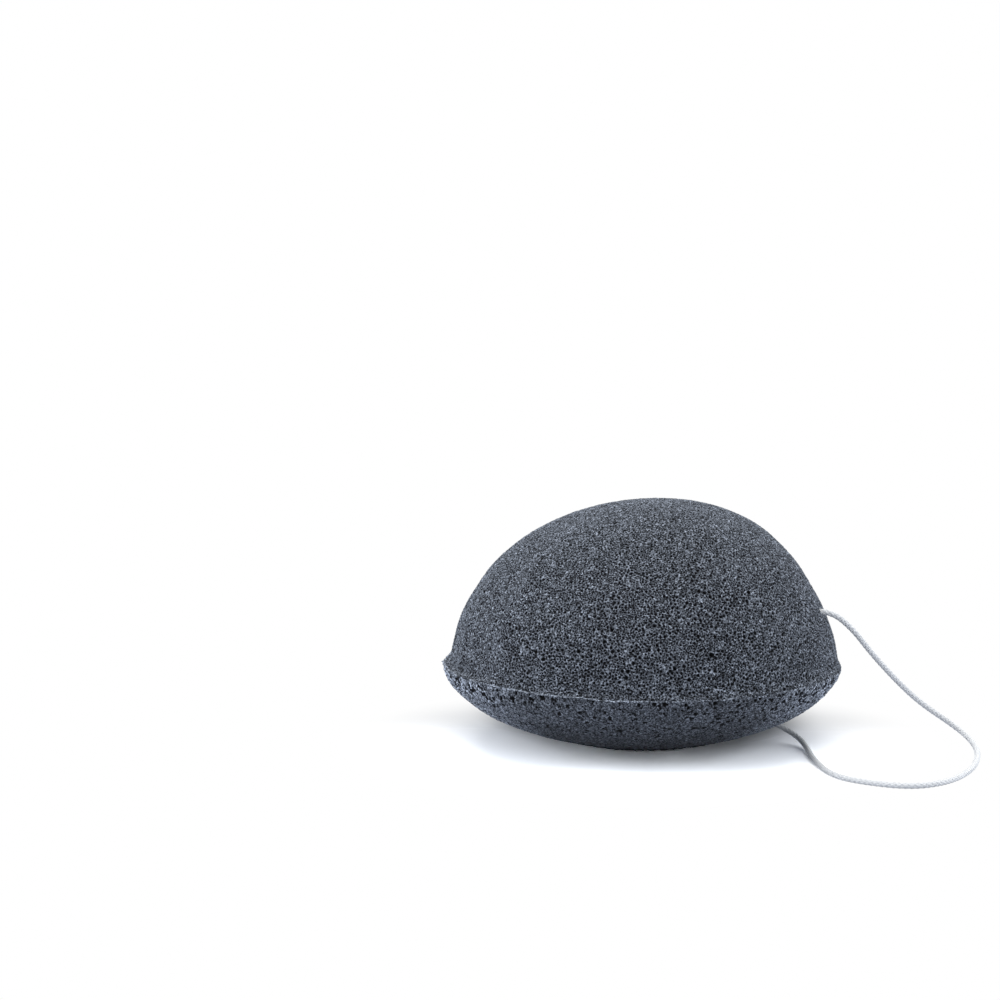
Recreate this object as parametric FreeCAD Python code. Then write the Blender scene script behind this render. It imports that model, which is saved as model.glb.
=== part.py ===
"""Konjac sponge: a moulded half-ball of charcoal konjac foam with a hanging loop of braided cord.

Millimetres, +Z up. The origin is at the middle of the flat that the sponge rests on.
The cord is one length: it leaves the dome, lies in a loose loop beside the sponge, goes back in
through the underside, and its two ends are tied in a reef knot buried in the foam.
"""
import FreeCAD, Part
import math
import os

Vector = FreeCAD.Vector

# Sponge
rim_radius = 40.0
dome_height = 33.5
underside_depth = 16.5
rest_flat_depth = 0.5
lip_width = 1.1
lip_height = 1.9
lip_land = 0.6

# Share of each control arm that shapes a quarter of the outline; 0.55 is an ellipse
dome_flank_fullness = 0.18
dome_crown_fullness = 0.78
underside_flank_fullness = 0.30
underside_crown_fullness = 0.59

# Cord and the way that it makes through the foam
cord_diameter = 1.2
channel_clearance = 0.1
bend_share = 0.45

# Reef knot
strand_gap = 0.4
knot_tail = 2.2
pocket_clearance = 0.3

rim_z = underside_depth - rest_flat_depth
dome_foot_radius = rim_radius - lip_width
cord_radius = cord_diameter / 2
floor_z = cord_radius

# Where the cord leaves the dome and the underside, and how far it goes straight into the foam there
upper_exit = Vector(35.6, -5.4, 27.8)
lower_exit = Vector(25.5, 1.5, 4.4)
upper_inner_run = 9.0
lower_inner_run = 6.7

# The free loop from the dome to the underside: out, down to the surface, round and back
loop_points = [
    upper_exit,
    Vector(38.0, -5.5, 27.7),
    Vector(42.1, -4.2, 24.1),
    Vector(46.1, -1.2, 18.7),
    Vector(51.6, 3.0, 12.3),
    Vector(56.6, 6.9, 7.2),
    Vector(64.4, 7.6, 1.9),
    Vector(66.8, -0.6, floor_z),
    Vector(66.6, -13.3, floor_z),
    Vector(64.1, -27.3, floor_z),
    Vector(58.8, -38.7, floor_z),
    Vector(51.0, -44.1, floor_z),
    Vector(41.5, -39.3, floor_z),
    Vector(36.4, -33.0, floor_z),
    Vector(33.8, -19.0, floor_z),
    Vector(33.1, -7.6, floor_z),
    Vector(32.0, -1.2, 1.3),
    Vector(28.2, 1.1, 3.4),
    lower_exit,
]


def rounded_path(points):
    """Straight runs joined by tangent arcs, each as large as its two runs allow: edges and arc radii."""
    edges = []
    radii = []
    start = points[0]
    for before, corner, after in zip(points, points[1:], points[2:]):
        arriving = corner - before
        leaving = after - corner
        turn = arriving.getAngle(leaving)
        tangent = bend_share * min(arriving.Length, leaving.Length)
        radius = tangent / math.tan(turn / 2)
        towards_before = (before - corner).normalize()
        towards_after = (after - corner).normalize()
        arc_start = corner + towards_before * tangent
        arc_end = corner + towards_after * tangent
        inward = (towards_before + towards_after).normalize()
        arc_middle = corner + inward * (radius / math.cos(turn / 2) - radius)
        edges.append(Part.LineSegment(start, arc_start).toShape())
        edges.append(Part.Arc(arc_start, arc_middle, arc_end).toShape())
        radii.append(radius)
        start = arc_end
    edges.append(Part.LineSegment(start, points[-1]).toShape())
    return edges, radii


def tube(points, radius):
    """A round tube along a rounded path, with the path's length and arc radii."""
    edges, radii = rounded_path(points)
    path = Part.Wire(edges)
    section = Part.Wire([Part.Circle(points[0], points[1] - points[0], radius).toShape()])
    solid = path.makePipeShell([section], True, False)
    return solid, path.Length, radii


def quarter_curve(radius, height, base_z, flank_fullness, crown_fullness):
    """Outline from the foot of a rounded form to its pole on the axis."""
    foot = Vector(radius, 0, base_z)
    flank = Vector(radius, 0, base_z + flank_fullness * height)
    crown = Vector(crown_fullness * radius, 0, base_z + height)
    pole = Vector(0, 0, base_z + height)
    curve = Part.BezierCurve()
    curve.setPoles([foot, flank, crown, pole])
    return curve.toShape(), foot, pole


def moulded_form():
    """The sponge before it is threaded: dome, lip at the parting line and shallow convex underside."""
    dome_z = rim_z + lip_height
    dome, dome_foot, top = quarter_curve(
        dome_foot_radius, dome_height - lip_height, dome_z, dome_flank_fullness, dome_crown_fullness
    )
    underside, rim, bottom = quarter_curve(
        rim_radius, -underside_depth, rim_z, underside_flank_fullness, underside_crown_fullness
    )
    land_top = Vector(rim_radius, 0, rim_z + lip_land)
    cove_rise = lip_height - lip_land
    cove_share = 1 - math.sqrt(0.5)
    cove_middle = Vector(
        dome_foot_radius + lip_width * cove_share, 0, land_top.z + cove_rise * cove_share
    )
    cove = Part.Arc(dome_foot, cove_middle, land_top).toShape()
    land = Part.LineSegment(land_top, rim).toShape()
    axis = Part.LineSegment(bottom, top).toShape()
    outline = Part.Wire([dome, cove, land, underside, axis])
    turned = Part.Face(outline).revolve(Vector(0, 0, 0), Vector(0, 0, 1), 360)
    slab_half = 2 * rim_radius
    below_rest = Part.makeBox(
        2 * slab_half, 2 * slab_half, underside_depth, Vector(-slab_half, -slab_half, -underside_depth)
    )
    return turned.cut(below_rest)


# Reef knot: two bights, each over, under and over the other, half a turn apart about the knot's width
pitch = cord_diameter + strand_gap
leg_inner = pitch / 2
leg_outer = 1.5 * pitch
crossing_reach = 1.2 * pitch
bight_reach = 3.1 * pitch
bight_corner = 0.8 * pitch
rise = 0.62 * pitch
upper_turn = upper_exit + (upper_exit - loop_points[1]).normalize() * upper_inner_run
lower_turn = lower_exit + (lower_exit - loop_points[-2]).normalize() * lower_inner_run
knot_along = (upper_turn - lower_turn).normalize()
knot_across = knot_along.cross(Vector(0, 1, 0)).normalize()
knot_up = knot_along.cross(knot_across)
knot_middle = (upper_turn + lower_turn) * 0.5 - knot_across * leg_inner


def knot_point(along, across, up):
    """A point of the knot in the part's frame. The channel's axis is at across = leg_inner."""
    return knot_middle + knot_along * along + knot_across * across + knot_up * up


def bight(side):
    """Points of one strand from its standing part, round its bight, to its tail; side is 1 above, -1 below."""
    legs = [
        (bight_reach, leg_inner, rise),
        (crossing_reach, leg_inner, -rise),
        (-crossing_reach, leg_outer, -rise),
        (bight_corner - bight_reach, leg_outer, rise),
        (-bight_reach, leg_outer - bight_corner, rise),
    ]
    returning = [(along, -across, up) for along, across, up in reversed(legs)]
    tail = [(bight_reach + knot_tail, -leg_inner, 0)]
    return [knot_point(side * along, across, side * up) for along, across, up in legs + returning + tail]


def knot_pocket():
    """Room that the knot presses into the foam: a round-ended hollow along the channel."""
    radius = leg_outer + cord_radius + pocket_clearance
    half_length = bight_reach + knot_tail + 2 * pocket_clearance
    straight = half_length - radius
    start = knot_point(-straight, 0, 0)
    pocket = Part.makeCylinder(radius, 2 * straight, start, knot_along)
    for end in (start, knot_point(straight, 0, 0)):
        pocket = pocket.fuse(Part.makeSphere(radius, end))
    return pocket.removeSplitter()


upper_points = [upper_exit, upper_turn] + bight(1)
lower_points = [lower_exit, lower_turn] + bight(-1)


def threaded_sponge():
    """The moulded form with the channel that the cord makes and the pocket that its knot makes."""
    sponge = moulded_form().cut(knot_pocket())
    for outside, points in ((loop_points[1], upper_points), (loop_points[-2], lower_points)):
        channel, _, _ = tube([outside] + points[1:4], cord_radius + channel_clearance)
        sponge = sponge.cut(channel)
    return sponge


def main():
    os.makedirs("parts", exist_ok=True)
    pieces = {"sponge_body": threaded_sponge()}
    for name, points in (
        ("hanging_loop", loop_points),
        ("knot_upper_end", upper_points),
        ("knot_lower_end", lower_points),
    ):
        solid, length, radii = tube(points, cord_radius)
        pieces[name] = solid
        expected = math.pi * cord_radius**2 * length
        print(f"{name}: length {length:.1f} mm, volume {solid.Volume / expected:.4f} of section times length")
        print("  radii " + " ".join(f"{radius:.1f}" for radius in radii))
    gap = pieces["knot_upper_end"].distToShape(pieces["knot_lower_end"])[0]
    print(f"least gap between the knot's two strands {gap:.2f} mm")
    for name, shape in pieces.items():
        box = shape.optimalBoundingBox()
        print(f"{name}: valid {shape.isValid()}, solids {len(shape.Solids)}, volume {shape.Volume:.1f} mm3, "
              f"box {box.XMin:.1f} {box.YMin:.1f} {box.ZMin:.2f} to {box.XMax:.1f} {box.YMax:.1f} {box.ZMax:.2f}")
        shape.exportStep(f"parts/{name}.step")


main()
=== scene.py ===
"""Konjac sponge on a white surface: open charcoal foam with a mould line, and a loop of braided cord."""
import math

import bpy
import numpy as np
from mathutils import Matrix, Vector
from mathutils.geometry import delaunay_2d_cdt


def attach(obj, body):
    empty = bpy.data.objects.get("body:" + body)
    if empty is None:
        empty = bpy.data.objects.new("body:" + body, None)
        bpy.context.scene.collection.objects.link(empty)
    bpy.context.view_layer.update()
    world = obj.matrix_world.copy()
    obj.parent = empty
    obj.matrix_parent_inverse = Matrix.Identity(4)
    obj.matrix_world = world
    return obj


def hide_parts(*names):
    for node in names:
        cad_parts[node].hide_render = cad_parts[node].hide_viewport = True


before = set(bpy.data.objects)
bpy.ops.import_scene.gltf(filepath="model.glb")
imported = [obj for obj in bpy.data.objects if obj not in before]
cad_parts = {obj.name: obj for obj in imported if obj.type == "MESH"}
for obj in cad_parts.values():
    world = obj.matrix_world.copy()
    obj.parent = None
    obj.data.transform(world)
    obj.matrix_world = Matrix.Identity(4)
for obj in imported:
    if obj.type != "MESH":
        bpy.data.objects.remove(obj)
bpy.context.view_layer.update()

MM = 0.001
TURN = 2 * math.pi
rng = np.random.default_rng(71)

# Moulded form, in millimetres, as in the solids
RIM_RADIUS = 40.0
RIM_Z = 16.0
TOP_Z = 49.5
LIP_LAND = 0.6
UNDERSIDE_DEPTH = 16.5
DOME_FULLNESS = (0.18, 0.78)
UNDERSIDE_FULLNESS = (0.30, 0.59)
SPONGE_MIDDLE = (0.0, 0.0, 20.0)

# Small departures of the soft block from its round form: radius and lean by height, crown by x
WARP_HEIGHT = (2.0, 4.5, 7.0, 10.0, 13.0, 16.0, 18.5, 21.0, 24.0, 28.0, 32.0, 36.0, 40.0, 44.0, 49.0)
WARP_RADIUS = (-1.0, 0.1, 0.6, 0.25, 0.0, -0.1, -0.33, -0.25, 0.0, 0.22, 0.1, 0.3, 0.0, 0.2, 0.0)
WARP_LEAN = (0.0, 0.0, 0.0, 0.0, -0.2, 0.1, -0.15, -0.05, -0.2, -0.2, -0.15, -0.2, -0.5, -0.3, 0.0)
CROWN_X = (-32.0, -26.0, -20.5, -15.0, -9.7, -4.0, 2.6, 9.7, 15.4, 20.8, 26.5, 32.0)
CROWN_RISE = (-0.2, -0.7, -0.9, -0.9, -0.8, -0.55, -0.11, 0.43, 0.84, 1.19, 1.75, 1.2)

# Foam: where its closer skin starts, where its cells end, how many end them, and the range of the
# underside's painted light and shade
SKIN_U = 1.97
BOTTOM_U = 2.95
BOTTOM_RING = 20
PAINTED_UNDER_LIGHTEST, PAINTED_UNDER_DARKEST = -2.0, 1.45

# Cord, in millimetres, as in the solids
CORD_DIAMETER = 1.2
FLOOR_Z = CORD_DIAMETER / 2
UPPER_EXIT = (35.6, -5.4, 27.8)
LOWER_EXIT = (25.5, 1.5, 4.4)
LOOP_ROUTE = [
    UPPER_EXIT,
    (38.0, -5.5, 27.7),
    (42.1, -4.2, 24.1),
    (46.1, -1.2, 18.7),
    (51.6, 3.0, 12.3),
    (56.6, 6.9, 7.2),
    (64.4, 7.6, 1.9),
    (66.8, -0.6, FLOOR_Z),
    (66.6, -13.3, FLOOR_Z),
    (64.1, -27.3, FLOOR_Z),
    (58.8, -38.7, FLOOR_Z),
    (51.0, -44.1, FLOOR_Z),
    (41.5, -39.3, FLOOR_Z),
    (36.4, -33.0, FLOOR_Z),
    (33.8, -19.0, FLOOR_Z),
    (33.1, -7.6, FLOOR_Z),
    (32.0, -1.2, 1.3),
    (28.2, 1.1, 3.4),
    LOWER_EXIT,
]

# Reef knot, in millimetres, as in the solids
UPPER_INNER_RUN = 9.0
LOWER_INNER_RUN = 6.7
STRAND_GAP = 0.4
KNOT_TAIL = 2.2

# Braid, in millimetres: strands that turn both ways over a core
STRANDS_EACH_WAY = 4
LAY = 4.6
STRAND_RADIUS = 0.375
WEAVE_DEPTH = 0.055
STRAND_HALF_WIDTH = 0.28
STRAND_HALF_THICKNESS = 0.17
CORE_RADIUS = 0.36
LOOP_RING_STEP = 0.085
KNOT_RING_STEP = 0.12
TUBE_SIDES = 8
TUBE_ANGLES = np.arange(TUBE_SIDES) * TURN / TUBE_SIDES


def smoothstep(low, high, value):
    """0 at low, 1 at high and a soft ramp between; low may be the larger."""
    share = np.clip((np.asarray(value, float) - low) / (high - low), 0.0, 1.0)
    return share * share * (3.0 - 2.0 * share)


def bell(value, middle, width):
    """1 at the middle, fading on both sides."""
    return np.exp(-(((value - middle) / width) ** 2))


def unit(vectors):
    """Vectors of the same directions with a length of 1."""
    return vectors / np.maximum(np.linalg.norm(vectors, axis=-1, keepdims=True), 1e-12)


def soft_table(places, amounts, blur):
    """A smooth curve through a few amounts, as a function of place."""
    step = 0.1
    grid = np.arange(places[0] - 4 * blur, places[-1] + 4 * blur, step)
    window = np.hanning(2 * int(blur / step) + 1)
    smooth = np.convolve(np.interp(grid, places, amounts), window / window.sum(), mode="same")
    return lambda at: np.interp(at, grid, smooth)


warp_radius = soft_table(WARP_HEIGHT, WARP_RADIUS, 1.6)
warp_lean = soft_table(WARP_HEIGHT, WARP_LEAN, 1.6)
crown_rise = soft_table(CROWN_X, CROWN_RISE, 4.0)


def mesh_object(name, vertices, loops, sizes):
    """A smooth mesh from vertices in millimetres, the corners of all polygons and how many each has."""
    mesh = bpy.data.meshes.new(name)
    mesh.vertices.add(len(vertices))
    mesh.vertices.foreach_set("co", (np.asarray(vertices) * MM).astype(np.float32).ravel())
    mesh.loops.add(len(loops))
    mesh.loops.foreach_set("vertex_index", np.asarray(loops, np.int32))
    mesh.polygons.add(len(sizes))
    starts = np.concatenate([[0], np.cumsum(sizes)[:-1]]).astype(np.int32)
    mesh.polygons.foreach_set("loop_start", starts)
    mesh.polygons.foreach_set("use_smooth", np.ones(len(sizes), bool))
    mesh.update(calc_edges=True)
    obj = bpy.data.objects.new(name, mesh)
    bpy.context.scene.collection.objects.link(obj)
    return obj


def point_values(mesh, label, values):
    """Stores one number for each vertex under a name that materials can read."""
    layer = mesh.attributes.new(label, "FLOAT", "POINT")
    layer.data.foreach_set("value", np.asarray(values, np.float32))


def loop_map(mesh, places):
    """Stores the unwrapped place of each polygon corner."""
    layer = mesh.uv_layers.new(name="OFBake")
    layer.data.foreach_set("uv", np.asarray(places, np.float32).ravel())


def quad_places(corners):
    """Unwrapped places of quads, from the u and v of their four corners."""
    return np.stack([np.stack(corner, axis=-1) for corner in corners], axis=1).reshape(-1, 2)


# Form of the sponge


def angle_from(theta, middle):
    """The signed angle from a direction round the sponge, within half a turn."""
    return np.angle(np.exp(1j * (theta - middle)))


def lip_step(theta):
    """How far the lip stands out from the foot of the dome: most on the -X side."""
    least, more_at_left, more_at_back = 0.35, 1.25, 0.45
    left = more_at_left * (1 - smoothstep(0.40, 0.95, np.abs(angle_from(theta, math.pi))))
    back = more_at_back * (1 - smoothstep(0.5, 1.2, np.abs(angle_from(theta, 0.5 * math.pi))))
    ragged = 0.10 * np.sin(7 * theta + 0.6) + 0.09 * np.sin(17 * theta + 2.1) + 0.08 * np.sin(43 * theta)
    return least + left + back + ragged * (0.25 + left)


def seam_rise(theta):
    """How far the mould line wanders above its mean height."""
    tilt = 0.08 - 0.49 * np.cos(theta) + 0.28 * np.cos(2 * theta)
    return tilt - 0.6 * bell(angle_from(theta, math.pi), 0, 0.45)


def quarter_curve(part, fullness):
    """Shares of radius and height along a quarter of the outline, from its foot at 0 to its pole at 1."""
    flank, crown = fullness
    foot_weight, pole_weight = (1 - part) ** 3, part**3
    flank_weight, crown_weight = 3 * part * (1 - part) ** 2, 3 * part**2 * (1 - part)
    radius_share = foot_weight + flank_weight + crown * crown_weight
    height_share = flank * flank_weight + crown_weight + pole_weight
    return radius_share, height_share


def settled(radius, theta, z):
    """Points of the round form as the soft block has them: leaning, lumpy, its mould line not level."""
    off_axis = smoothstep(2, 14, radius)
    radius = radius + warp_radius(z) * off_axis
    x = radius * np.cos(theta) + warp_lean(z)
    y = radius * np.sin(theta)
    on_crown = smoothstep(26, 42, z)
    at_seam = bell(z, RIM_Z, np.where(z > RIM_Z, 5.0, 2.0))
    z = z + crown_rise(x) * on_crown + seam_rise(theta) * at_seam
    lump = 0.12 * np.sin(0.21 * x + 0.6) * np.cos(0.17 * y + 1.2) + 0.08 * np.sin(0.29 * y - 0.25 * z + 0.4)
    off_floor = smoothstep(0.5, 6, z)
    away = 1 + lump * off_floor / RIM_RADIUS
    return np.stack([x * away, y * away, np.maximum(z, 0.0)], axis=-1)


def base_point(u, theta):
    """Points of the moulded skin: u is 0 at the top, 1 at the dome's foot, 2 at the rim and 3 below."""
    u, theta = np.broadcast_arrays(np.asarray(u, float), np.asarray(theta, float))
    step = lip_step(theta)
    shelf = smoothstep(0.7, 1.3, step)
    foot_radius = RIM_RADIUS - step
    land_z = RIM_Z + LIP_LAND * (1 - shelf)
    foot_z = land_z + step * (0.75 - 0.65 * shelf)

    dome_share, dome_rise = quarter_curve(1 - np.clip(u, 0, 1), DOME_FULLNESS)
    dome_r = foot_radius * dome_share
    dome_z = foot_z + (TOP_Z - foot_z) * dome_rise

    # The lip is a cove and then an upright land; where it stands out far, it is a shelf with a rounded edge
    cove_part = 0.7
    lip_part = np.clip(u - 1, 0, 1)
    bend = 0.5 * math.pi * np.clip(lip_part / cove_part, 0, 1)
    outward = (1 - np.cos(bend)) * (1 - shelf) + np.sin(bend) * shelf
    downward = np.sin(bend) * (1 - shelf) + (1 - np.cos(bend)) * shelf
    down_land = np.clip((lip_part - cove_part) / (1 - cove_part), 0, 1)
    lip_r = foot_radius + step * outward
    lip_z = foot_z + (land_z - foot_z) * downward - (land_z - RIM_Z) * down_land

    under_share, under_drop = quarter_curve(np.clip(u - 2, 0, 1), UNDERSIDE_FULLNESS)
    under_r = RIM_RADIUS * under_share
    under_z = RIM_Z - UNDERSIDE_DEPTH * under_drop

    radius = np.where(u < 1, dome_r, np.where(u < 2, lip_r, under_r))
    z = np.where(u < 1, dome_z, np.where(u < 2, lip_z, under_z))
    return settled(radius, theta, z)


def base_normal(u, theta):
    """Outward unit normals of the moulded skin, taken across the lip's land where that has no height."""
    near, across_land, least_run = 0.001, 0.35, 1e-7

    def run(reach):
        above, under = np.maximum(u - reach, 0.001), np.minimum(u + reach, 2.999)
        return base_point(under, theta) - base_point(above, theta)

    along = run(near)
    no_height = np.linalg.norm(along, axis=-1, keepdims=True) < least_run
    along = np.where(no_height, run(across_land), along)
    round_it = base_point(u, theta + near) - base_point(u, theta - near)
    return unit(np.cross(along, round_it))


class Meridian:
    """Tables over u along the front meridian: run, radius, height and the radius in a conformal map."""

    def __init__(self):
        dome, lip, under = np.linspace(0, 1, 1500), np.linspace(1, 2, 120), np.linspace(2, 3, 1200)
        self.u = np.concatenate([dome, lip[1:], under[1:]])
        points = base_point(self.u, np.full_like(self.u, -0.5 * math.pi))
        self.radius = np.maximum(np.hypot(points[:, 0], points[:, 1]), 1e-4)
        self.z = points[:, 2]
        steps = np.maximum(np.linalg.norm(np.diff(points, axis=0), axis=1), 1e-9)
        self.run = np.concatenate([[0], np.cumsum(steps)])
        self.mean_radius = 0.5 * (self.radius[1:] + self.radius[:-1])
        growth = np.concatenate([[0], np.cumsum(steps / self.mean_radius)])
        near = np.searchsorted(self.run, 1.0)
        self.log_radius = growth - growth[near] + math.log(self.run[near])


# Cells of the foam


def cell_spacing(u, z):
    """Mean distance between cells: fine on the crown, coarser towards the rim, coarsest where it stands."""
    dome = 0.53 + 0.05 * smoothstep(46, 22, z)
    under = 0.68 + 0.60 * smoothstep(2.5, 2.8, u)
    return np.where(u < 1.9, dome, under)


def triangles_of(flat):
    """Delaunay triangles of points in the plane, all turning the same way."""
    found = delaunay_2d_cdt([Vector(p) for p in flat], [], [], 0, 1e-9)
    origin = np.array([ids[0] for ids in found[3]], np.int64)
    triangles = origin[np.array(found[2], np.int64)]
    a, b, c = (flat[triangles[:, k]] for k in range(3))
    ab, ac = b - a, c - a
    turned = ab[:, 0] * ac[:, 1] - ab[:, 1] * ac[:, 0] < 0
    triangles[turned] = triangles[turned][:, ::-1]
    return triangles


def round_points(radius, theta):
    """Points in the plane at a radius and an angle."""
    return np.stack([radius * np.cos(theta), radius * np.sin(theta)], axis=1)


def scatter_cells(meridian):
    """Cell centres in the conformal plane, at random and then evened out, with a fixed ring at the end."""
    hexagon_area, ring_apart = 0.87, 0.008
    spacing = cell_spacing(meridian.u, meridian.z)
    weight = np.diff(meridian.run) * meridian.mean_radius / (hexagon_area * spacing[1:] ** 2)
    weight[meridian.u[1:] > BOTTOM_U] = 0
    share = np.concatenate([[0], np.cumsum(weight)])
    count = int(TURN * share[-1])
    u = np.interp(rng.random(count) * share[-1], share, meridian.u)
    theta = rng.random(count) * TURN
    cells = round_points(np.exp(np.interp(u, meridian.u, meridian.log_radius)), theta)
    ring_radius = np.exp(np.interp(BOTTOM_U + ring_apart, meridian.u, meridian.log_radius))
    ring = round_points(ring_radius, np.arange(BOTTOM_RING) * TURN / BOTTOM_RING)
    flat = np.concatenate([cells, ring])
    for ease in (0.9, 0.8, 0.7):
        triangles = triangles_of(flat)
        middles = flat[triangles].mean(axis=1)
        owner = triangles.ravel()
        amount = np.maximum(np.bincount(owner, minlength=len(flat)), 1)
        for axis in range(2):
            goal = np.bincount(owner, np.repeat(middles[:, axis], 3), len(flat)) / amount
            flat[:count, axis] += ease * (goal - flat[:, axis])[:count]
    return flat, count


class Cells:
    """The foam's cells: a centre each, a strut where three meet, and the struts in order round each cell.

    cell, strut and following have one entry for each strut of each cell.
    """

    def __init__(self, meridian):
        flat, self.count = scatter_cells(meridian)
        self.triangles = triangles_of(flat)
        self.u = np.interp(np.log(np.hypot(flat[:, 0], flat[:, 1])), meridian.log_radius, meridian.u)
        self.theta = np.arctan2(flat[:, 1], flat[:, 0])
        self.centres = base_point(self.u, self.theta)
        self.normals = base_normal(self.u, self.theta)
        self.strut_points = self.centres[self.triangles].mean(axis=1)
        self.strut_normals = unit(self.normals[self.triangles].sum(axis=1))
        self.owner = np.minimum(self.triangles[:, 0], self.count - 1)
        self.below = self.u[:self.count] > SKIN_U
        self.side = smoothstep(0.55, 0.95, np.abs(np.cos(self.theta[:self.count])))
        self.order_struts(flat)

    def order_struts(self, flat):
        """Lists the struts in order round each cell, with their distance from its centre."""
        cell = self.triangles.ravel()
        strut = np.repeat(np.arange(len(self.triangles)), 3)
        direction = flat[self.triangles].mean(axis=1)[strut] - flat[cell]
        order = np.lexsort((np.arctan2(direction[:, 1], direction[:, 0]), cell))
        order = order[cell[order] < self.count]
        self.cell, self.strut = cell[order], strut[order]
        amount = np.bincount(self.cell, minlength=self.count)
        first = np.concatenate([[0], np.cumsum(amount)[:-1]])
        self.following = np.arange(len(self.cell)) + 1
        self.following[first + amount - 1] = first
        spoke = self.strut_points[self.strut] - self.centres[self.cell]
        self.distance = np.maximum(np.linalg.norm(spoke, axis=1), 1e-9)
        self.size = np.bincount(self.cell, weights=self.distance, minlength=self.count) / amount

    def spread(self, values):
        """One value for each cell, given to all vertices of the foam: struts, mouths and bottoms."""
        return np.concatenate([values[self.owner], values[self.cell], values])


def cell_openness(cells):
    """How open each cell is, and which are holes: open on the dome, mostly skinned over below."""
    shallow_share, shallow_part = 0.10, 0.4
    luck = rng.random(cells.count)
    dome = 0.58 + 0.45 * luck
    dome[rng.random(cells.count) < shallow_share] *= shallow_part
    skin = 0.08 + 0.36 * luck
    open_share = 0.17 + 0.50 * cells.side
    hole = cells.below & (rng.random(cells.count) < open_share)
    return np.where(hole, 0.75 + 0.4 * luck, np.where(cells.below, skin, dome)), hole


def pits(cells, openness, hole):
    """Each cell's pit, a little off centre: its mouth, with a point towards each strut, and its bottom."""
    widest, mouth_sink, shift_spread = 0.88, 0.15, 0.10
    any_direction = (0.31, 0.77, 0.56)
    normals = cells.normals[:cells.count]
    depth = openness * cells.size * rng.uniform(1.3, 2.2, cells.count)
    shift = rng.normal(0, shift_spread, (cells.count, 2))
    across = unit(np.cross(normals, any_direction))
    along = np.cross(normals, across)
    off_centre = cells.size[:, None] * (shift[:, :1] * across + shift[:, 1:] * along)
    middle = cells.centres[:cells.count] + off_centre
    bottom = middle - normals * depth[:, None]

    reach = cells.strut_points[cells.strut] - middle[cells.cell]
    length = np.maximum(np.linalg.norm(reach, axis=1), 1e-9)
    width = 0.42 + 0.30 * openness + 0.08 * hole
    width = width[cells.cell] * rng.uniform(0.78, 1.22, len(cells.cell))
    rounded = 0.5 * length + 0.5 * cells.size[cells.cell]
    share = np.minimum(rounded * width, widest * length) / length
    mouth = middle[cells.cell] + reach * share[:, None]
    mouth -= normals[cells.cell] * (mouth_sink * depth)[cells.cell][:, None]
    return mouth, bottom


def struts(cells):
    """Tops of the struts, a little up or down, and which of them are broken through between two pits."""
    height_spread, broken_drop, broken_on_dome = 0.10, 0.45, 0.13
    count = len(cells.triangles)
    size = np.bincount(cells.strut, weights=cells.size[cells.cell], minlength=count)
    size /= np.maximum(np.bincount(cells.strut, minlength=count), 1)
    height = rng.normal(0.0, height_spread, count) * size
    broken_share = np.where(cells.below, 0.28 * cells.side, broken_on_dome)
    broken = rng.random(count) < broken_share[cells.owner]
    height[broken] -= broken_drop * size[broken]
    return cells.strut_points + cells.strut_normals * height[:, None], broken


def large_pores(vertices, skin_below):
    """Round pores below the mould line: how far each vertex sinks, how much painted shade darkens it
    towards the pore's middle, and how pale it is.
    """
    count, depth_share, darkest = 560, 0.8, 1.1
    pale_at, pale_width = 1.2, 0.2
    pore_u = 2.05 + 0.50 * rng.random(count) ** 1.4
    pore_theta = rng.random(count) * TURN
    beside = smoothstep(0.45, 0.9, np.abs(np.cos(pore_theta)))
    kept = rng.random(count) < 0.42 + 0.58 * beside
    pore_radius = rng.uniform(0.28, 0.52, count) + 0.14 * beside
    middles = base_point(pore_u, pore_theta)
    normals = base_normal(pore_u, pore_theta)
    at = np.flatnonzero(skin_below)
    places = vertices[at]
    sink, dark, pale = np.zeros_like(places), np.zeros(len(at)), np.zeros(len(at))
    for k in np.flatnonzero(kept):
        near = np.flatnonzero(np.abs(places - middles[k]).max(axis=1) < 2 * pore_radius[k])
        share = np.linalg.norm(places[near] - middles[k], axis=1) / pore_radius[k]
        hollow = np.clip(1 - share**2, 0, 1)
        sink[near] += (depth_share * pore_radius[k] * hollow)[:, None] * normals[k]
        # Painted shade, darkest in the middle of each pore
        dark[near] = np.maximum(dark[near], darkest * np.sqrt(hollow))
        pale[near] = np.maximum(pale[near], bell(share, pale_at, pale_width))
    whole = [np.zeros_like(vertices), np.zeros(len(vertices)), np.zeros(len(vertices))]
    for target, part in zip(whole, (sink, dark, pale)):
        target[at] = part
    return whole


def drawn_in(vertices):
    """Vertices with the foam drawn in where the cord goes through it."""
    depth, radius = 1.2, 1.3
    for place in (UPPER_EXIT, LOWER_EXIT):
        away = np.linalg.norm(vertices - np.asarray(place), axis=1)
        inward = unit(np.subtract(SPONGE_MIDDLE, place))
        vertices = vertices + (depth * bell(away, 0, radius))[:, None] * inward
    return vertices


def open_border(start, end):
    """The skin's one open edge, in the middle of the face that it stands on, as a polygon to close it."""
    pairs = set(zip(start.tolist(), end.tolist()))
    onward = {b: a for a, b in pairs if (b, a) not in pairs}
    at = min(onward)
    border = [at]
    while onward[border[-1]] != at:
        border.append(onward[border[-1]])
    return np.array(border)


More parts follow.
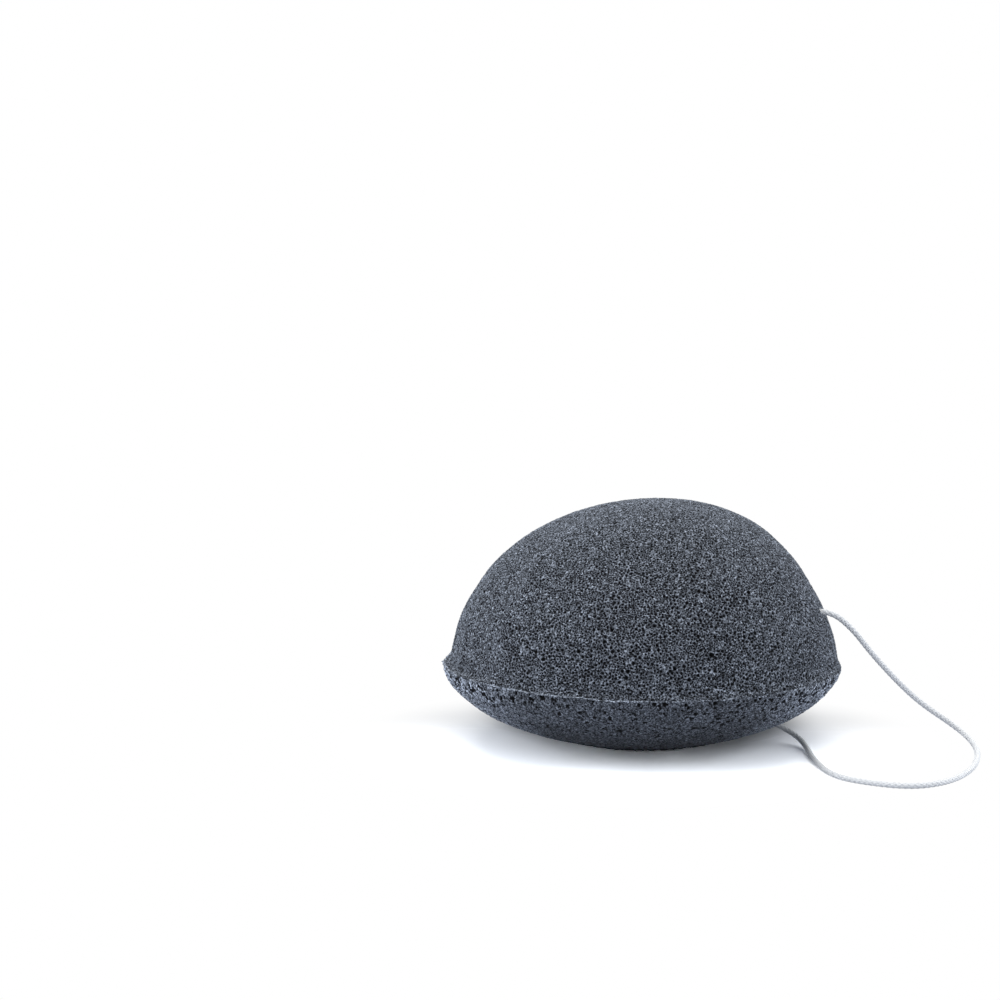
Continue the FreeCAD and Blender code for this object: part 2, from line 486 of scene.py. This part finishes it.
def foam_values(mesh, cells, openness, broken, dark, pale):
    """Stores what the foam's material reads: how deep in a pit each vertex is, which it paints as shade,
    its tone, and the underside's painted light and shade.
    """
    broken_cavity, mouth_cavity, pale_tone = 0.45, 0.38, 0.8
    luck = rng.random(len(broken))
    strut_tone = 0.10 + 0.85 * luck + 1.1 * smoothstep(0.92, 1.0, luck)
    pit_tone = rng.uniform(0.15, 0.85, cells.count)
    mouth = (mouth_cavity * openness)[cells.cell] * rng.uniform(0.6, 1.3, len(cells.cell))
    # Painted shade by depth: broken struts and pit mouths part way dark, pit bottoms darkest
    painted_pit_shade = np.concatenate([broken_cavity * broken, mouth, openness])
    tone = np.concatenate([strut_tone, pit_tone[cells.cell], pit_tone])
    # Painted light and shade below the mould line: darker where it faces front and back, darkest towards
    # the floor, lighter towards the ±X sides where the side light falls
    z = cells.centres[:cells.count, 2]
    low = 0.45 * smoothstep(12, 5, z) + 0.4 * smoothstep(5, 2, z)
    painted_underside_shade = cells.below * np.clip(0.58 - 2.6 * cells.side + low, PAINTED_UNDER_LIGHTEST, PAINTED_UNDER_DARKEST)
    point_values(mesh, "painted_pit_shade", np.maximum(painted_pit_shade, dark))
    point_values(mesh, "tone", tone + pale_tone * pale)
    point_values(mesh, "under", cells.spread(painted_underside_shade))


def foam_map(cells, meridian, mouth, loops, cap_size):
    """Unwrapped places of the foam's polygon corners: a round map of the dome and one of the underside."""
    dome_middle, under_middle = 0.33, 0.76
    whole = meridian.run[-1]
    map_side = 1.72 * whole
    run = np.interp(cells.u, meridian.u, meridian.run)
    around = round_points(1.0, cells.theta)
    share = np.linalg.norm(mouth - cells.centres[cells.cell], axis=1) / cells.distance
    share = share[:, None].clip(0, 0.95)
    maps = []
    for reach, middle in ((run, dome_middle), (whole - run, under_middle)):
        place = middle + (reach / map_side)[:, None] * around
        strut_place = place[cells.triangles].mean(axis=1)
        cell_place = place[cells.cell]
        mouth_place = cell_place + (strut_place[cells.strut] - cell_place) * share
        maps.append(np.concatenate([strut_place, mouth_place, place[:cells.count]]))
    on_dome = (cells.u < 2.0)[cells.cell]
    on_dome = np.concatenate([np.repeat(on_dome, 4), np.repeat(on_dome, 3), np.zeros(cap_size, bool)])
    return np.where(on_dome[:, None], maps[0][loops], maps[1][loops])


def foam_body():
    """The sponge: a skin of irregular open cells, each a pit of its own width and depth between struts."""
    meridian = Meridian()
    cells = Cells(meridian)
    openness, hole = cell_openness(cells)
    mouth, bottom = pits(cells, openness, hole)
    ridge, broken = struts(cells)
    vertices = np.concatenate([ridge, mouth, bottom])
    sink, dark, pale = large_pores(vertices, cells.spread(cells.below))
    vertices = drawn_in(vertices - sink)
    vertices[:, 2] = np.maximum(vertices[:, 2], 0.0)

    mouth_at = len(ridge) + np.arange(len(mouth))
    bottom_at = len(ridge) + len(mouth) + cells.cell
    next_strut, next_mouth = cells.strut[cells.following], mouth_at[cells.following]
    rim_quads = np.stack([cells.strut, next_strut, next_mouth, mouth_at], axis=1)
    pit_tris = np.stack([mouth_at, next_mouth, bottom_at], axis=1)
    cap = open_border(cells.strut, next_strut)
    loops = np.concatenate([rim_quads.ravel(), pit_tris.ravel(), cap])
    sizes = np.concatenate([np.full(len(rim_quads), 4), np.full(len(pit_tris), 3), [len(cap)]])
    obj = mesh_object("foam_body", vertices, loops, sizes)
    foam_values(obj.data, cells, openness, broken, dark, pale)
    loop_map(obj.data, foam_map(cells, meridian, mouth, loops, len(cap)))
    return obj


# Flash at the mould line


def drift(count, widths):
    """Random values round a closed ring, smoothed over several widths, with a spread of about 1."""
    total = np.zeros(count)
    for width in widths:
        window = np.hanning(2 * width + 1)
        raw = rng.normal(size=count)
        wrapped = np.concatenate([raw[-width:], raw, raw[:width]])
        total += np.convolve(wrapped, window / np.sqrt((window**2).sum()), mode="valid")
    return total / math.sqrt(len(widths))


def flash_map(count, around):
    """Unwrapped places of the flash's quads: its length in rows, one above another."""
    rows, used = 20, 0.9
    row_length = count // rows
    along = np.repeat(np.arange(count), around)
    spokes = np.tile(np.arange(around), count)
    u = (along % row_length) / row_length
    v = (along // row_length + spokes / around * used) / rows
    u_end, v_end = u + 0.98 / row_length, v + used / around / rows
    return quad_places([(u, v), (u_end, v), (u_end, v_end), (u, v_end)])


def seam_flash():
    """A thin torn edge of flash along the mould line, sunk into the foam in places."""
    count, root = 2000, -0.5
    section = ((root, 1.0), (0.7, 0.9), (1.0, 0.2), (1.0, -0.5), (0.6, -1.0), (root, -1.0))
    theta = np.arange(count) * TURN / count
    degrees = np.degrees(theta)
    reach = 0.08 + 0.17 * drift(count, (3, 12, 60))
    reach += 0.24 * bell(degrees, 254, 18) - 0.20 * bell(degrees, 320, 30)
    reach -= 0.35 * bell(np.degrees(angle_from(theta, 0)), 0, 14)
    reach = np.clip(reach, -0.25, 0.5)
    half = np.clip(0.13 + 0.04 * drift(count, (4, 20)), 0.06, 0.24)
    wander = 0.06 * drift(count, (8, 40))
    tone = np.clip(1.25 + 0.55 * drift(count, (2, 9, 30)), 0.2, 2.6)

    rim = base_point(np.full(count, 2.0), theta)
    out = np.stack([np.cos(theta), np.sin(theta), np.zeros(count)], axis=1)
    up = np.array([0.0, 0.0, 1.0])
    rings = []
    for part, level in section:
        beyond = np.where(part < 0, root, part * reach)
        rings.append(rim + out * beyond[:, None] + up * (wander + level * half)[:, None])
    vertices = np.stack(rings, axis=1).reshape(-1, 3)
    around = len(section)
    step = np.arange(count)[:, None] * around
    onward = (np.arange(count)[:, None] + 1) % count * around
    spoke = np.arange(around)[None, :]
    turn = (spoke + 1) % around
    quads = np.stack([step + spoke, onward + spoke, onward + turn, step + turn], axis=-1).reshape(-1, 4)
    obj = mesh_object("seam_flash", vertices, quads.ravel(), np.full(len(quads), 4))
    point_values(obj.data, "painted_pit_shade", np.zeros(len(vertices)))
    point_values(obj.data, "tone", np.repeat(tone, around))
    point_values(obj.data, "under", np.zeros(len(vertices)))
    loop_map(obj.data, flash_map(count, around))
    return obj


# Cord


def knot_routes():
    """Routes of the cord's two ends: in at an exit, round one of the reef knot's two bights, to a tail."""
    pitch = CORD_DIAMETER + STRAND_GAP
    leg_inner, leg_outer = 0.5 * pitch, 1.5 * pitch
    crossing_reach, bight_reach, bight_corner = 1.2 * pitch, 3.1 * pitch, 0.8 * pitch
    rise = 0.62 * pitch
    legs = [
        (bight_reach, leg_inner, rise),
        (crossing_reach, leg_inner, -rise),
        (-crossing_reach, leg_outer, -rise),
        (bight_corner - bight_reach, leg_outer, rise),
        (-bight_reach, leg_outer - bight_corner, rise),
    ]
    returning = [(along, -across, up) for along, across, up in reversed(legs)]
    tail = [(bight_reach + KNOT_TAIL, -leg_inner, 0)]

    upper_turn = UPPER_EXIT + UPPER_INNER_RUN * unit(np.subtract(UPPER_EXIT, LOOP_ROUTE[1]))
    lower_turn = LOWER_EXIT + LOWER_INNER_RUN * unit(np.subtract(LOWER_EXIT, LOOP_ROUTE[-2]))
    knot_along = unit(upper_turn - lower_turn)
    knot_across = unit(np.cross(knot_along, (0, 1, 0)))
    knot_up = np.cross(knot_along, knot_across)
    middle = 0.5 * (upper_turn + lower_turn) - leg_inner * knot_across

    def bight(side):
        return [
            middle + side * along * knot_along + across * knot_across + side * up * knot_up
            for along, across, up in legs + returning + tail
        ]

    return [UPPER_EXIT, upper_turn] + bight(1), [LOWER_EXIT, lower_turn] + bight(-1)


def route_line(points):
    """Points of the smooth line of a cord's route, read from its NURBS spline."""
    curve = bpy.data.curves.new("route", "CURVE")
    curve.dimensions = "3D"
    curve.resolution_u = 40
    spline = curve.splines.new("NURBS")
    spline.points.add(len(points) - 1)
    for point, place in zip(spline.points, points):
        point.co = (*(MM * v for v in place), 1.0)
    spline.order_u = 3
    spline.use_endpoint_u = True
    holder = bpy.data.objects.new("route", curve)
    bpy.context.scene.collection.objects.link(holder)
    bpy.context.view_layer.update()
    shown = holder.evaluated_get(bpy.context.evaluated_depsgraph_get())
    mesh = bpy.data.meshes.new_from_object(shown)
    line = np.array([v.co[:] for v in mesh.vertices]) / MM
    bpy.data.objects.remove(holder)
    bpy.data.curves.remove(curve)
    bpy.data.meshes.remove(mesh)
    return line


def even_line(line, step):
    """The same line with its points an even step apart, and the distance of each from its start."""
    run = np.concatenate([[0], np.cumsum(np.linalg.norm(np.diff(line, axis=0), axis=1))])
    keep = np.concatenate([[True], np.diff(run) > 1e-9])
    line, run = line[keep], run[keep]
    count = max(2, int(round(run[-1] / step)) + 1)
    along = np.linspace(0, run[-1], count)
    return np.stack([np.interp(along, run, line[:, k]) for k in range(3)], axis=1), along


def carried_frames(line):
    """Two directions across the line at each point, carried along without twist."""
    tangent = unit(np.gradient(line, axis=0))
    side = np.cross(tangent[0], [0, 0, 1.0])
    sides = []
    for t in tangent:
        side = unit(side - t * np.dot(side, t))
        sides.append(side)
    sides = np.array(sides)
    return sides, np.cross(tangent, sides)


def tube_rings(middle, across, out, half_width, half_thickness):
    """Rings of points round a line, one ring for each of its points."""
    wide = half_width * np.cos(TUBE_ANGLES)[None, :, None] * across[:, None, :]
    thick = half_thickness * np.sin(TUBE_ANGLES)[None, :, None] * out[:, None, :]
    return middle[:, None, :] + wide + thick


def braid_tubes(line, along):
    """Rings of the braid's core and strands, and their points' depth, which the cord's colour paints as
    shade: most inside, 0 at the outside.
    """
    inner_side, dipped, other_way = 0.6, 0.3, 0.24
    side, other = carried_frames(line)
    tubes = [tube_rings(line, side, other, CORE_RADIUS, CORE_RADIUS)]
    shade_depths = [np.ones((len(line), TUBE_SIDES))]
    turned_in = 0.5 - 0.5 * np.sin(TUBE_ANGLES)[None, :]
    for way in (1, -1):
        wave = way * np.cos(TURN * STRANDS_EACH_WAY * along / LAY)
        weave = dipped * (0.5 - 0.5 * wave[:, None])
        for k in range(STRANDS_EACH_WAY):
            turn = way * TURN * along / LAY + TURN * k / STRANDS_EACH_WAY
            out = np.cos(turn)[:, None] * side + np.sin(turn)[:, None] * other
            middle = line + (STRAND_RADIUS + WEAVE_DEPTH * wave)[:, None] * out
            forward = unit(np.gradient(middle, axis=0))
            out = unit(out - forward * np.sum(out * forward, axis=1, keepdims=True))
            across = np.cross(forward, out)
            tubes.append(tube_rings(middle, across, out, STRAND_HALF_WIDTH, STRAND_HALF_THICKNESS))
            # Painted shade by depth: strands darker on their inner side and where they dip under others;
            # those of one way a little darker
            shade_depths.append(inner_side * turned_in + weave + other_way * (way < 0))
    return tubes, shade_depths


def braided_cord(name, route, step):
    """A braid of strands over a core along a route, each a closed tube; also the line that it follows."""
    map_row_length, used = 40.0, 0.9
    line, along = even_line(route_line(route), step)
    tubes, shade_depths = braid_tubes(line, along)
    rings = len(line)
    ring_start = np.arange(rings - 1)[:, None] * TUBE_SIDES
    spoke = np.arange(TUBE_SIDES)
    turn = (spoke + 1) % TUBE_SIDES
    next_start = ring_start + TUBE_SIDES
    tube = np.stack([ring_start + spoke, ring_start + turn, next_start + turn, next_start + spoke], axis=-1)
    tube = tube.reshape(-1, 4)

    # Each tube is unwrapped in rows of its own, and the ends are discs in the last row
    rows_each = max(1, int(round(rings * step / map_row_length)))
    row_rings = -(-(rings - 1) // rows_each)
    rows = rows_each * len(tubes) + 1
    ring_at = np.repeat(np.arange(rings - 1), TUBE_SIDES)
    spoke_at = np.tile(spoke, rings - 1)
    u = (ring_at % row_rings) / row_rings
    u_end = u + 1.0 / row_rings
    disc = round_points(0.4 / rows, TUBE_ANGLES)
    loops, sizes, maps = [], [], []
    for index in range(len(tubes)):
        base = index * rings * TUBE_SIDES
        loops.append((tube + base).ravel())
        sizes.append(np.full(len(tube), 4))
        v = (index * rows_each + ring_at // row_rings + spoke_at / TUBE_SIDES * used) / rows
        v_end = v + used / TUBE_SIDES / rows
        maps.append(quad_places([(u, v), (u, v_end), (u_end, v_end), (u_end, v)]))
        for end, ring in enumerate((spoke[::-1], (rings - 1) * TUBE_SIDES + spoke)):
            loops.append(ring + base)
            sizes.append(np.array([TUBE_SIDES]))
            maps.append(disc + [(2 * index + end + 0.6) / (2 * len(tubes) + 1), 1 - 0.5 / rows])
    vertices = np.concatenate([rings_of.reshape(-1, 3) for rings_of in tubes])
    obj = mesh_object(name, vertices, np.concatenate(loops), np.concatenate(sizes))
    point_values(obj.data, "strand_shade_depth", np.concatenate([depth.ravel() for depth in shade_depths]))
    loop_map(obj.data, np.concatenate(maps))
    return obj, line


# Materials


class Graph:
    """The shader nodes of a material or of the world; a value is a socket to link from, or a constant."""

    def __init__(self, tree):
        self.nodes, self.links = tree.nodes, tree.links

    def fill(self, node, inputs):
        """Gives a node's inputs their values, by name or by number."""
        for key, value in inputs.items():
            if isinstance(value, bpy.types.NodeSocket):
                self.links.new(value, node.inputs[key])
            else:
                node.inputs[key].default_value = value
        return node

    def add(self, kind, inputs):
        """A new node with its inputs."""
        return self.fill(self.nodes.new("ShaderNode" + kind), inputs)

    def math(self, operation, *values):
        """The result of one operation on numbers."""
        node = self.nodes.new("ShaderNodeMath")
        node.operation = operation
        return self.fill(node, dict(enumerate(values))).outputs[0]

    def chain(self, operation, values):
        """Several values taken together by an operation, one after another."""
        so_far, *others = values
        for value in others:
            so_far = self.math(operation, so_far, value)
        return so_far

    def vector(self, operation, inputs):
        """A node with one operation on vectors."""
        node = self.nodes.new("ShaderNodeVectorMath")
        node.operation = operation
        return self.fill(node, inputs)

    def mapped(self, value, low, high, to_low, to_high, soft=False):
        """A value taken from one range to another and kept within it."""
        node = self.nodes.new("ShaderNodeMapRange")
        node.interpolation_type = "SMOOTHSTEP" if soft else "LINEAR"
        ranges = {"From Min": low, "From Max": high, "To Min": to_low, "To Max": to_high}
        return self.fill(node, {"Value": value, **ranges}).outputs["Result"]

    def ramp(self, value, stops):
        """A colour looked up by a value, in stops of position and colour."""
        node = self.add("ValToRGB", {"Fac": value})
        elements = node.color_ramp.elements
        elements[0].position, elements[1].position = stops[0][0], stops[-1][0]
        elements[0].color, elements[1].color = (*stops[0][1], 1), (*stops[-1][1], 1)
        for position, colour in stops[1:-1]:
            elements.new(position).color = (*colour, 1)
        return node.outputs["Color"]

    def stored(self, name):
        """A number stored on the mesh's vertices."""
        node = self.nodes.new("ShaderNodeAttribute")
        node.attribute_name = name
        return node.outputs["Fac"]

    def noise(self, place, scale, detail):
        """Soft noise by place."""
        return self.add("TexNoise", {"Vector": place, "Scale": scale, "Detail": detail}).outputs["Fac"]

    def axes(self, place):
        """The x, y and z of a place."""
        return self.add("SeparateXYZ", {0: place}).outputs


def matt_material(name, roughness, specular):
    """A matt material: itself, its graph, its surface shader and the place in the object's own space."""
    material = bpy.data.materials.new(name)
    material.use_nodes = True
    graph = Graph(material.node_tree)
    shader = graph.nodes["Principled BSDF"]
    graph.fill(shader, {"Roughness": roughness, "Specular IOR Level": specular})
    return material, graph, shader, graph.add("TexCoord", {}).outputs["Object"]


def dress(graph, shader, colour, level, grain, strength, depth):
    """Gives a surface a colour times a level, and a grain of some strength and depth in millimetres."""
    tint = graph.vector("SCALE", {0: colour, "Scale": level})
    bump = graph.add("Bump", {"Strength": strength, "Distance": depth * MM, "Height": grain})
    graph.fill(shader, {"Base Color": tint.outputs["Vector"], "Normal": bump.outputs["Normal"]})


def foam_material():
    """Matt charcoal foam: pale struts, pits painted black as shade, fine pores in the struts painted as
    dark dots, mottled, and the underside's painted light and shade.
    """
    material, graph, shader, place = matt_material("charcoal_foam", roughness=0.92, specular=0.15)
    # Painted shade in the pits: the deeper in a pit, the darker the colour, down to near black
    colour = graph.ramp(graph.stored("painted_pit_shade"), [
        (0.0, (0.113, 0.124, 0.143)),
        (0.28, (0.086, 0.094, 0.109)),
        (0.42, (0.011, 0.012, 0.014)),
        (1.0, (0.002, 0.002, 0.003)),
    ])
    grain = graph.noise(place, 3000, 2)
    pores = graph.add("TexVoronoi", {"Vector": place, "Scale": 2600})
    tone = graph.mapped(graph.stored("tone"), 0, 1, 0.45, 1.55)
    fine = graph.mapped(grain, 0.33, 0.67, 0.12, 1.80)
    # Tiny pores in the struts, painted as dark dots of shade
    painted_pore_dots = graph.mapped(pores.outputs["Distance"], 0.10, 0.50, 0.10, 1.34)
    mottle = graph.mapped(graph.noise(place, 170, 2), 0.3, 0.7, 0.95, 1.05)
    # Painted light and shade on the underside, from its stored value
    shade = graph.mapped(graph.stored("under"), PAINTED_UNDER_LIGHTEST, PAINTED_UNDER_DARKEST, 2.0, 0.275)
    contrast = graph.math("POWER", graph.chain("MULTIPLY", [tone, fine, painted_pore_dots, mottle]), 1.25)
    level = graph.math("MULTIPLY", contrast, shade)
    dress(graph, shader, colour, level, grain, strength=0.6, depth=0.1)
    return material


def cord_material():
    """White cotton with painted shade: bright on the strands' backs, greyer between them, with fine fibres.
    """
    material, graph, shader, place = matt_material("white_cotton", roughness=0.85, specular=0.2)
    # Painted shade in the braid: the deeper between the strands, the greyer
    colour = graph.ramp(graph.stored("strand_shade_depth"), [
        (0.0, (0.81, 0.81, 0.80)),
        (0.35, (0.80, 0.80, 0.79)),
        (0.7, (0.77, 0.77, 0.765)),
        (1.0, (0.72, 0.72, 0.72)),
    ])
    grain = graph.noise(place, 6000, 2)
    fibres = graph.mapped(grain, 0.3, 0.7, 0.93, 1.03)
    dress(graph, shader, colour, fibres, grain, strength=0.4, depth=0.05)
    return material


# Stage


def seen_directly(graph):
    """1 for what the camera sees, straight or by a mirror or a glass."""
    path = graph.add("LightPath", {})
    flags = ("Is Camera Ray", "Is Glossy Ray", "Is Transmission Ray")
    return graph.chain("ADD", [path.outputs[name] for name in flags])


def painted_outline_shadow(graph, x, y, beside):
    """Painted light and shadow on the floor along the sponge's lower outline, as a share of light: most in
    the middle, least beside it.
    """
    left, right, brightest = -40.0, 40.0, 3.0
    shares = (
        (-40, 0.95), (-31, 0.78), (-24, 0.55), (-17, 0.55), (-11, 0.95), (-5, 1.3), (0, 2.7),
        (4, 1.8), (9, 0.8), (14, 0.45), (20, 0.28), (26, 0.32), (31, 0.55), (38, 0.9),
    )
    stops = [((at - left) / (right - left), (share / brightest,) * 3) for at, share in shares]
    near = graph.ramp(graph.mapped(x, left * MM, right * MM, 0, 1), stops)
    near = graph.mapped(near, 0, 1, 0, brightest)

    # The outline is a parabola on the floor, and the painted shadow fades back to the full share of light
    # on both sides of it
    front_y, side_y = -6.5, 48.7
    back_reach, back_fade = 100.0, 0.4
    squared = graph.math("MULTIPLY", x, x)
    outline = graph.mapped(squared, 0, (right * MM) ** 2, front_y * MM, side_y * MM)
    before = graph.math("SUBTRACT", outline, y)
    behind = graph.mapped(before, 0, -back_reach * MM, 0, back_fade * back_reach * MM)
    apart = graph.math("MAXIMUM", before, behind)
    wide = graph.mapped(beside, 3 * MM, 12 * MM, 7 * MM, 18 * MM)
    wider_at_right = graph.mapped(x, -8 * MM, 8 * MM, 0.8, 1.25)
    return graph.mapped(apart, 0, graph.math("MULTIPLY", wide, wider_at_right), near, 1, soft=True)


def white_floor():
    """A white surface that keeps the sponge's shadow, adds painted light and shadow near it, and runs out
    into plain white.
    """
    bpy.ops.mesh.primitive_plane_add(size=8, location=(0, 0, 0))
    floor = bpy.context.object
    floor.name = "floor"
    material = bpy.data.materials.new("white_floor")
    material.use_nodes = True
    graph = Graph(material.node_tree)
    graph.nodes.clear()
    place = graph.add("TexCoord", {}).outputs["Object"]
    x, y, _ = graph.axes(place)
    beside = graph.math("ABSOLUTE", x)

    # Near the sponge the camera sees the floor's rendered shadow times painted light and shadow by place,
    # brighter in front and dimmer beside, and further out plain white
    painted_light_by_depth = graph.mapped(y, 32 * MM, -20 * MM, 0.80, 3.2, soft=True)
    painted_shade_by_side = graph.mapped(beside, 4 * MM, 30 * MM, 1.0, 0.66, soft=True)
    bright = graph.chain("MULTIPLY", [painted_light_by_depth, painted_shade_by_side, painted_outline_shadow(graph, x, y, beside)])
    grey = graph.add("CombineColor", {"Red": bright, "Green": bright, "Blue": bright})
    shown = graph.add("BsdfDiffuse", {"Color": grey.outputs[0]})
    plain = graph.add("Emission", {"Color": (1, 1, 1, 1), "Strength": 1.0})
    away = graph.vector("LENGTH", {0: place}).outputs["Value"]
    far = graph.mapped(away, 32 * MM, 62 * MM, 0, 1, soft=True)
    surface = graph.add("MixShader", {"Fac": far, 1: shown.outputs[0], 2: plain.outputs[0]})

    # All other light comes off an even grey floor
    lit = graph.add("BsdfDiffuse", {"Color": (0.478, 0.50, 0.56, 1)})
    mix = graph.add("MixShader", {"Fac": seen_directly(graph), 1: lit.outputs[0], 2: surface.outputs[0]})
    graph.add("OutputMaterial", {"Surface": mix.outputs[0]})
    floor.data.materials.append(material)


def soft_surround():
    """A pale tent of light: bright at the sides, softer above, dark in front, white where it is seen."""
    world = bpy.data.worlds.new("surround")
    bpy.context.scene.world = world
    world.use_nodes = True
    graph = Graph(world.node_tree)
    x, _, z = graph.axes(graph.add("TexCoord", {}).outputs["Generated"])

    # Light from one end of an axis fades to nothing a quarter turn away, faster with a higher power
    glows = []
    for axis, end, power, strength in (
        (x, -1, 1, 1.0),
        (x, -1, 5, 3.1),
        (x, 1, 1, 0.5),
        (x, 1, 5, 2.8),
        (z, 1, 1, 0.6),
    ):
        towards = graph.math("POWER", graph.mapped(axis, 0, end, 0, 1), power)
        glows.append(graph.mapped(towards, 0, 1, 0, strength))
    light = graph.nodes["Background"]
    graph.fill(light, {"Color": (0.90, 0.94, 1.0, 1), "Strength": graph.chain("ADD", glows)})
    shown = graph.add("Background", {"Color": (1, 1, 1, 1), "Strength": 1.0})
    mix = graph.add("MixShader", {"Fac": seen_directly(graph), 1: light.outputs[0], 2: shown.outputs[0]})
    graph.fill(graph.nodes["World Output"], {"Surface": mix.outputs[0]})


def area_light(name, place, aim, size, power):
    """A soft rectangular lamp."""
    light = bpy.data.lights.new(name, "AREA")
    light.shape = "RECTANGLE"
    light.size, light.size_y = size
    light.energy = power
    holder = bpy.data.objects.new(name, light)
    holder.location = place
    holder.rotation_euler = (Vector(aim) - Vector(place)).to_track_quat("-Z", "Y").to_euler()
    bpy.context.scene.collection.objects.link(holder)


def photo_camera():
    """The photograph's viewpoint: 700 mm from the rim's middle, ten degrees up, with a long lens."""
    distance, elevation = 0.700, math.radians(10)
    look_down, look_left = math.radians(7.301), math.radians(2.366)
    camera = bpy.data.cameras.new("camera")
    camera.lens = 124.96
    camera.sensor_width = 36.0
    camera.clip_start = 0.01
    holder = bpy.data.objects.new("camera", camera)
    holder.location = (0, -distance * math.cos(elevation), RIM_Z * MM + distance * math.sin(elevation))
    holder.rotation_euler = (0.5 * math.pi - look_down, 0, look_left)
    bpy.context.scene.collection.objects.link(holder)
    bpy.context.scene.camera = holder


# Assembly

charcoal = foam_material()
foam = foam_body()
foam.data.materials.append(charcoal)
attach(foam, "root")
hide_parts("sponge_body")

flash = seam_flash()
flash.data.materials.append(charcoal)
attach(flash, "root")

white = cord_material()
upper_route, lower_route = knot_routes()
for name, route, node in (
    ("knot_upper_strand", upper_route, "knot_upper_end"),
    ("knot_lower_strand", lower_route, "knot_lower_end"),
):
    strand, _ = braided_cord(name, route, KNOT_RING_STEP)
    strand.data.materials.append(white)
    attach(strand, "root")
    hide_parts(node)

loop, loop_line = braided_cord("cord_loop", LOOP_ROUTE, LOOP_RING_STEP)
loop.data.materials.append(white)
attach(loop, "root")
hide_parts("hanging_loop")

white_floor()
soft_surround()
area_light("overhead", place=(0.0, 0.10, 0.75), aim=(0, 0, 0.02), size=(0.9, 0.9), power=4.1)
photo_camera()
bpy.context.scene.view_settings.view_transform = "Standard"
